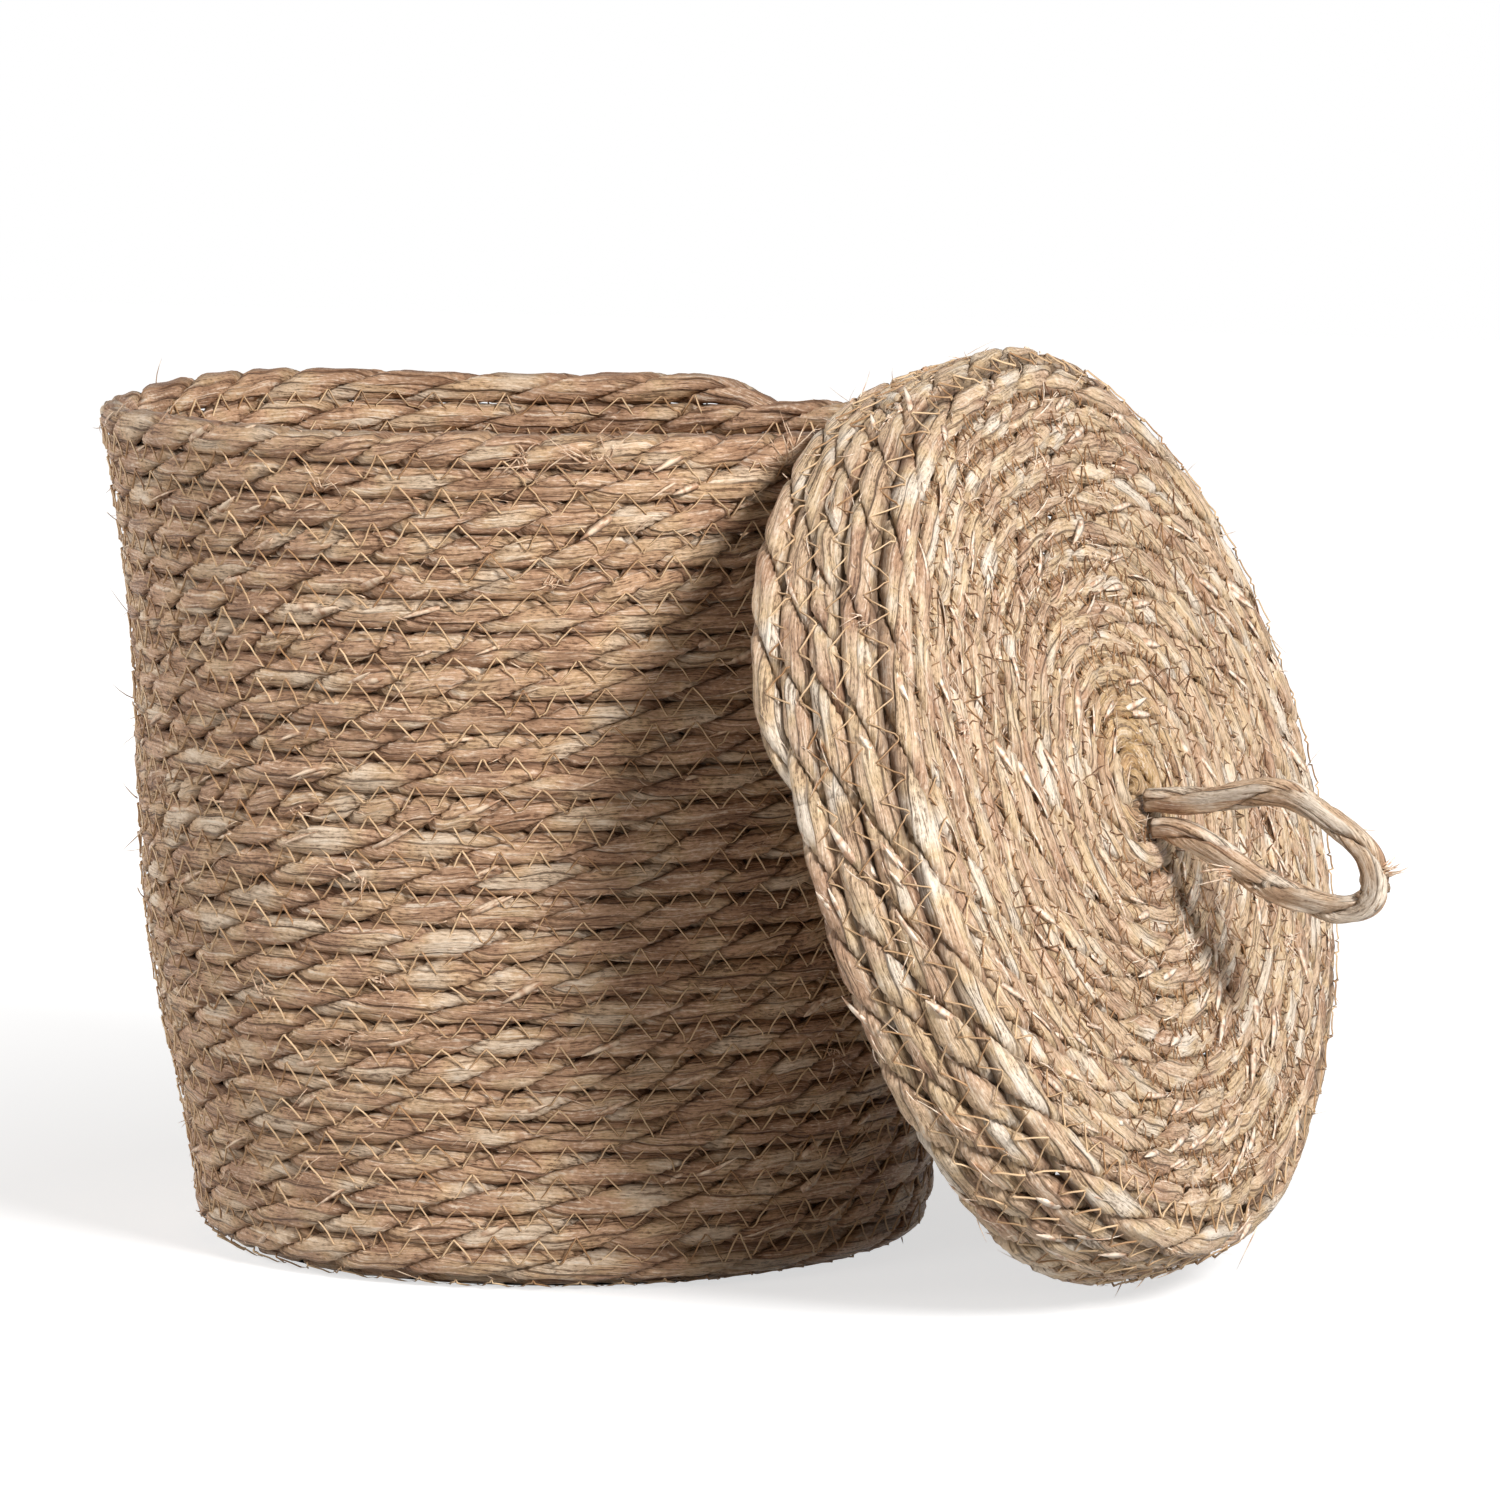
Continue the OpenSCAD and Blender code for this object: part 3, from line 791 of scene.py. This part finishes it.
# The rows that each CAD coil stands for
BASKET_BANDS = {
    "base_coil": (-12, 0.5),
    "lower_wall_coil": (0.5, 9),
    "middle_wall_coil": (9, 17),
    "upper_wall_coil": (17, 25),
    "rim_coil": (24.5, 27),
}
LID_BANDS = {"lid_top_coil": (0, 14.5), "lid_skirt_coil": (14.5, 16.5), "lid_edge_coil": (16.5, 18)}


def lay_pieces(line, cuts, bands, leaf, body, seed, place):
    """A wound rope as pieces from one row count to the next, each for the CAD coils that it covers."""
    for i, (low, high) in enumerate(zip(cuts, cuts[1:])):
        tubes = strands(stretch(line, low, high), bpy.context.scene.basket_rope, seed)
        nodes = [name for name, (a, b) in bands.items() if min(b, high) - max(a, low) > 0.3]
        build(f"{body}_rope_{i + 1:02d}", tubes, leaf, body, f"rope_{body}", nodes, place)


class WindBasket(bpy.types.Operator):
    """Winds the rope of the base and the wall"""

    bl_idname = "rope_basket.wind_basket"
    bl_label = "Wind the basket"

    def execute(self, context):
        c = context.scene.basket_colours
        # Painted shade in the rope's folds at half strength
        leaf = leaf_finish("dried_leaf_tan", (c.brown, c.tan, c.ochre, c.straw), 0.5)
        cuts = [-11, -4, 0] + list(range(2, context.scene.basket_body.rows, 2))
        lay_pieces(basket_rope(), cuts, BASKET_BANDS, leaf, "basket", 300, slumped)
        return {"FINISHED"}


class WindLid(bpy.types.Operator):
    """Winds the rope of the lid"""

    bl_idname = "rope_basket.wind_lid"
    bl_label = "Wind the lid"

    def execute(self, context):
        c = context.scene.basket_colours
        # Painted shade in the rope's folds at the finish's usual strength
        leaf = leaf_finish("dried_leaf_pale", (c.lid_brown, c.lid_tan, c.lid_ochre, c.lid_straw), gold=True)
        cuts = [0, 9, 11.5, 13, 14.5, 16, 17, 18]
        lay_pieces(lid_rope(), cuts, LID_BANDS, leaf, "lid", 700, lid_shaped)
        return {"FINISHED"}


class SewRows(bpy.types.Operator):
    """Sews each row of the basket and the lid to the next"""

    bl_idname = "rope_basket.sew"
    bl_label = "Sew the rows"

    def execute(self, context):
        scene = context.scene
        rope, c = scene.basket_rope, scene.basket_colours
        straw = straw_finish("split_straw_thread", c.thread, c.thread_dark)
        worn = straw_finish("worn_straw_thread", c.thread_dark, c.thread_worn)
        last = scene.basket_body.rows - 1
        basket = ("basket", "rope_basket", basket_profile, last, scene.basket_body.end, 1, slumped)
        lid = ("lid", "rope_lid", lid_profile, LID_ROWS, scene.basket_lid.end, -1, lid_shaped)
        long, short, thick, thin = rope.stitch, 0.6 * rope.stitch, rope.thread, 0.7 * rope.thread
        usual = (long, thick, 0.0, 1.0, straw)
        # What is sewn, from which row to which, its name, on which sides, and then how and with what
        for piece, low, high, where, sides, stitch, thread, sunk, loose, finish in (
            (basket, -9.6, -0.3, "base", (1, -1), long, thick, 0.7, 1.0, straw),
            (basket, 0.2, 8, "low", (1, -1), *usual),
            (basket, 8, 16.5, "middle", (1, -1), *usual),
            (basket, 16.5, last - 1.03, "high", (1, -1), *usual),
            (lid, 1.2, 13, "face", (1,), short, thin, 1.0, 2.2, worn),
            (lid, 1.2, 13, "lining", (-1,), *usual),
            (lid, 13, LID_ROWS - 1.03, "skirt", (1, -1), *usual),
        ):
            body, slot, profile, end, angle, facing, place = piece
            seam = wind(profile, low, high, end, angle, facing, step=0.002, shift=0.5)
            for side in sides:
                shape, name = (OUTER_STITCH, "outer") if side > 0 else (INNER_STITCH, "inner")
                line = sew(seam, shape, side, 40 + round(7 * high) + side, stitch, thread, sunk, loose)
                build(f"{body}_thread_{where}_{name}", [line], finish, body, slot, (), place, THREAD_RINGS)
        return {"FINISHED"}


class FrayRope(bpy.types.Operator):
    """Sets loose fibres and curled leaf ends on the rope"""

    bl_idname = "rope_basket.fray"
    bl_label = "Fray the rope"

    def execute(self, context):
        c = context.scene.basket_colours
        tan = straw_finish("frayed_leaf_fibre", c.straw, c.brown)
        pale = straw_finish("frayed_pale_fibre", c.lid_straw, c.lid_brown)
        basket, lid = basket_rope(), lid_rope()
        gold = straw_finish("frayed_golden_fibre", c.gold, c.lid_straw)
        # The body, slot, CAD nodes, shape and rings to a map of each piece
        on_basket = ("basket", "rope_basket", (), slumped, FIBRE_RINGS)
        on_lid = ("lid", "rope_lid", (), lid_shaped, FIBRE_RINGS)
        lower = [*frays(basket, (0.2, 13), 800, 11), *flaps(basket, (0.5, 13), 260, 12)]
        upper = [*frays(basket, (13, 25.9), 900, 13), *flaps(basket, (13, 25.9), 300, 14)]
        # The longer tufts hang at one place on the rim
        clumps = [*tufts(basket, (1.5, 25.8), 34, 21), *tufts(basket, (25.30, 25.42), 5, 22, 0.010)]
        build("basket_frays_low", lower, tan, *on_basket)
        build("basket_frays_high", upper, tan, *on_basket)
        build("basket_frays_inside", [*frays(basket, (-9, 25.9), 500, 15, side=-1)], tan, *on_basket)
        build("basket_tufts", clumps, tan, *on_basket)
        build("lid_rosette", [*rosette(170, 23)], gold, *on_lid)
        build("lid_tufts", [*tufts(lid, (4, 17.8), 26, 24, 0.004)], pale, *on_lid)
        face = [*frays(lid, (0.6, 14), 1500, 16, longest=0.014), *flaps(lid, (1, 14), 300, 17)]
        skirt = [*frays(lid, (14, 17.9), 420, 18), *flaps(lid, (14, 17.9), 120, 19)]
        build("lid_frays_face", face, pale, *on_lid)
        build("lid_frays_skirt", skirt, pale, *on_lid)
        return {"FINISHED"}


# Middle line of the loop from its upper foot, in mm down the lid's slope and out of its face
LOOP = [
    (8.5, 8.6), (9.5, 13), (13, 24), (16, 37), (17.5, 52), (19, 66), (23, 76.5), (31, 85), (40.5, 93),
    (49, 100), (57, 104.5), (67, 105.5), (76, 102.5), (79, 94), (77.5, 84), (72, 74), (65, 62), (57, 52),
    (48, 43.5), (38, 34.5), (29, 25), (22.5, 15.5), (21, 8.6),
]
# Section of a leaf strip wound round the cord, out of it and along it
WRAP = np.array([(0.0007, 0.0), (0.0003, 0.0021), (-0.0006, 0.0019), (-0.0006, -0.0019), (0.0003, -0.0021)])


def shifted(rings, along, around, by):
    """A tube with another stretch of the leaf's pattern on it."""
    return rings, along + by, around


class TieHandle(bpy.types.Operator):
    """Twists the loop handle, binds it and knots its ends under the lid"""

    bl_idname = "rope_basket.handle"
    bl_label = "Tie the handle"

    def execute(self, context):
        scene = context.scene
        cord, c = scene.basket_handle, scene.basket_colours
        # Painted shade in the cord's folds at half strength
        leaf = leaf_finish("dried_leaf_cord", (c.lid_brown, c.lid_tan, c.lid_straw, c.lid_straw), 0.5)
        pale = straw_finish("frayed_cord_fibre", c.lid_straw, c.tan)
        points = np.array([(x / 1000, 0, z / 1000) for x, z in LOOP])
        line = follow(points, np.array([0, 1.0, 0]), cord.step)
        ends = np.minimum(line.s, line.s[-1] - line.s)
        # dark: the cord's folds get 80 % of the painted shade
        line.full, line.press, line.dark = 0.8 + 0.2 * ease(ends / 0.02), 1.1 + 0 * ends, 0.8 + 0 * ends
        lay_up(line, cord, 8, 0.5)
        tubes = strands(line, cord, 900)
        # Leaf strips wound round the cord at the tip and on the lower leg: from where to where, and turns
        for low, high, turns, seed in ((0.49, 0.575, 3.6, 1), (0.735, 0.77, 1.5, 2)):
            i = (line.k >= low) & (line.k <= high)
            s = line.s[i] - line.s[i][0]
            turn = (TURN * turns * s / s[-1] + 0.6 * seed)[:, None]
            r = 0.0066 + 0.0005 * wander(s / 0.004, seed)
            spot = line.p[i] + r[:, None] * (np.cos(turn) * line.n[i] + np.sin(turn) * line.w[i])
            out = unit(spot - line.p[i])
            side = np.cross(unit(np.gradient(spot, axis=0)), out)
            rings = spot[:, None] + WRAP[:, :1] * out[:, None] + WRAP[:, 1:] * side[:, None]
            tubes.append((rings, s + 300 * seed, np.arange(6) / 5))
        build("handle_cord", tubes, leaf, "handle", "rope_handle", ["handle_loop"], leaned)

        # Loose fibres at the tip, on the lower leg and on the bend: place, way, number, length and scatter
        rng = np.random.default_rng(5)
        made = []
        for spot, heading, count, length, loose in (
            ((0.0665, 0.0, 0.110), (0.15, 0.1, 1.0), 9, 0.010, 0.35),
            ((0.0490, -0.005, 0.044), (-0.25, -0.35, -1.0), 7, 0.016, 0.12),
            ((0.0450, 0.004, 0.098), (0.6, 0.5, 0.6), 4, 0.009, 0.3),
        ):
            for _ in range(count):
                way = unit(np.array(heading) + rng.normal(0, loose, 3))
                start = np.array(spot) + rng.normal(0, 0.0012, 3)
                size = length * rng.uniform(0.5, 1.2)
                bend = rng.normal(0, 0.15, 3)
                thick = rng.uniform(0.0003, 0.0007) * np.array([1, 1, 0.8, 0.5, 0.1])
                made.append(fibre(start, way, bend, size, thick, (0, 1.0, 0.1), sides=4))
        build("handle_frays", made, pale, "handle", "rope_handle", (), leaned, period=20)

        # Each end goes down between two rows, is knotted inside, and ends in a few fibres
        entry, neck_end, knot, tails = 0.0058, -0.0150, -0.0155, -0.0190
        t = np.linspace(0, TURN, 61)
        across, down = np.sin(t) + 2 * np.sin(2 * t), np.cos(t) - 2 * np.cos(2 * t)
        trefoil = np.stack([across, down, -np.sin(3 * t)], 1)
        inwards = np.linspace(0, 1, 16)[:, None]
        knots = []
        for x, root in ((0.0085, 0.0085), (0.0255, 0.0215)):
            curve = trefoil * 0.00155 + np.array([x, 0, knot])
            thick = 0.0026 + 0.0002 * np.sin(9 * t)
            knots.append(shifted(*tube(curve, (0.03, 0.05, 1.0), thick, 10), x * 1000))
            neck = np.array([root, 0, entry]) * (1 - inwards) + np.array([x, 0, neck_end]) * inwards
            knots.append(shifted(*tube(neck, (0, 1.0, 0), 0.0030, 8), x * 2000))
            for j in range(7):
                way = unit(np.array([rng.normal(0, 0.5), rng.normal(0, 0.5), -1.0]))
                thick = 0.0007 * np.array([1, 1, 0.9, 0.7, 0.2])
                start, size = np.array([x, 0, tails]), 0.011 * rng.uniform(0.5, 1.1)
                knots.append(shifted(*fibre(start, way, 0 * way, size, thick, (0, 1.0, 0), 4), j * 10))
        build("handle_knots_tied", knots, leaf, "lid", "rope_handle", ["handle_knots"], leaned)
        return {"FINISHED"}


# Place of the camera, its turn from looking along +Y, how far it looks down, and its lens in mm
CAMERA = ((1.604, -3.110, 0.624), math.radians(25.84), math.radians(6.47), 179.2)
# Each lamp's place, width in m and power in W, and the point that all of them face
LAMPS = {
    "key": ((3.0, -1.6, 1.9), 1.0, 174),
    "side": ((-3.0, -1.2, 1.6), 2.0, 64),
    "front": ((-1.0, -3.2, 1.9), 1.8, 18),
}
LIT_POINT = (0.05, 0, 0.2)


def seen_directly(tree):
    """1 for what the camera sees directly, in a reflection or through glass, and 0 for all other light."""
    path = node(tree, "LightPath").outputs
    either = node(tree, "Math", (path["Is Camera Ray"], path["Is Glossy Ray"]), operation="MAXIMUM")
    return node(tree, "Math", (either, path["Is Transmission Ray"]), operation="MAXIMUM").outputs[0]


class SetStage(bpy.types.Operator):
    """Sets the floor, the soft lights and the camera"""

    bl_idname = "rope_basket.stage"
    bl_label = "Set the stage"

    def execute(self, context):
        scene = context.scene
        scene.view_settings.view_transform = "Standard"
        place, turned, tilt, lens = CAMERA
        bpy.ops.object.camera_add(location=place)
        camera = context.active_object
        camera.name = "camera"
        camera.data.lens, camera.data.sensor_width = lens, 36
        camera.rotation_euler = (math.pi / 2 - tilt, 0, turned)
        scene.camera = camera

        world = bpy.data.worlds.new("soft_white")
        scene.world = world
        world.use_nodes = True
        tree = world.node_tree
        # Plain white where it is looked at, and a faint warm fill on everything else
        seen = seen_directly(tree)
        level = node(tree, "MapRange", {"Value": seen, "To Min": 0.07, "To Max": 1.0})
        hue = node(tree, "Mix", {0: seen, 6: (*linear("#ffe2c6"), 1), 7: (1, 1, 1, 1)}, data_type="RGBA")
        backdrop = tree.nodes["Background"]
        tree.links.new(level.outputs[0], backdrop.inputs["Strength"])
        tree.links.new(hue.outputs[2], backdrop.inputs["Color"])

        # Just under the foot
        bpy.ops.mesh.primitive_plane_add(size=14, location=(0, 0, -0.0006))
        floor = context.active_object
        floor.name = "floor"
        # Matt white paper, which gives a soft shadow near the basket and goes to plain white further out
        paper, tree, shader = blank("matt_white_paper")
        shader.inputs["Base Color"].default_value = (*linear("#bcbcbc"), 1)
        shader.inputs["Roughness"].default_value = 1.0
        shader.inputs["Specular IOR Level"].default_value = 0.0
        place = node(tree, "TexCoord").outputs["Object"]
        far = node(tree, "VectorMath", {0: place}, operation="LENGTH").outputs["Value"]
        white = node(tree, "MapRange", (far, 0.3, 1.3, 0.65, 1.0))
        # Under the base, within this distance of its middle, no light falls
        open_floor = node(tree, "Math", (far, 0.152), operation="GREATER_THAN")
        lift = node(tree, "Math", (white, seen_directly(tree)), operation="MULTIPLY")
        lift = node(tree, "Math", (lift, open_floor), operation="MULTIPLY")
        shader.inputs["Emission Color"].default_value = (1, 1, 1, 1)
        tree.links.new(lift.outputs[0], shader.inputs["Emission Strength"])
        floor.data.materials.append(paper)

        for name, (spot, size, power) in LAMPS.items():
            bpy.ops.object.light_add(type="AREA", location=spot)
            lamp = context.active_object
            lamp.name, lamp.data.shape, lamp.data.size, lamp.data.energy = name, "DISK", size, power
            x, y, z = (a - b for a, b in zip(spot, LIT_POINT))
            lamp.rotation_euler = (math.atan2(math.hypot(x, y), z), 0, math.atan2(y, x) + math.pi / 2)
        return {"FINISHED"}


class BasketPanel(bpy.types.Panel):
    """Lists the sizes, the colours and the steps that make the basket"""

    bl_idname = "VIEW3D_PT_rope_basket"
    bl_label = "Rope Basket"
    bl_space_type = "VIEW_3D"
    bl_region_type = "UI"
    bl_category = "Rope Basket"

    def draw(self, context):
        for name in SETTINGS:
            group = getattr(context.scene, name)
            box = self.layout.box()
            for item in group.bl_rna.properties.keys():
                if item not in ("rna_type", "name"):
                    box.prop(group, item)
        for step in STEPS:
            self.layout.operator(step.bl_idname)


SETTINGS = {
    "basket_rope": RopeSettings,
    "basket_body": BasketSettings,
    "basket_lid": LidSettings,
    "basket_handle": HandleSettings,
    "basket_colours": ColourSettings,
}
STEPS = (SetStage, WindBasket, WindLid, SewRows, FrayRope, TieHandle)


def register():
    for part in (*SETTINGS.values(), *STEPS, BasketPanel):
        bpy.utils.register_class(part)
    for name, group in SETTINGS.items():
        setattr(bpy.types.Scene, name, PointerProperty(type=group))


def unregister():
    for name in SETTINGS:
        delattr(bpy.types.Scene, name)
    for part in reversed((*SETTINGS.values(), *STEPS, BasketPanel)):
        bpy.utils.unregister_class(part)


def main():
    register()
    bpy.ops.object.select_all(action="DESELECT")
    bpy.ops.rope_basket.stage()
    bpy.ops.rope_basket.wind_basket()
    bpy.ops.rope_basket.wind_lid()
    bpy.ops.rope_basket.sew()
    bpy.ops.rope_basket.fray()
    bpy.ops.rope_basket.handle()


if __name__ == "__main__":
    main()
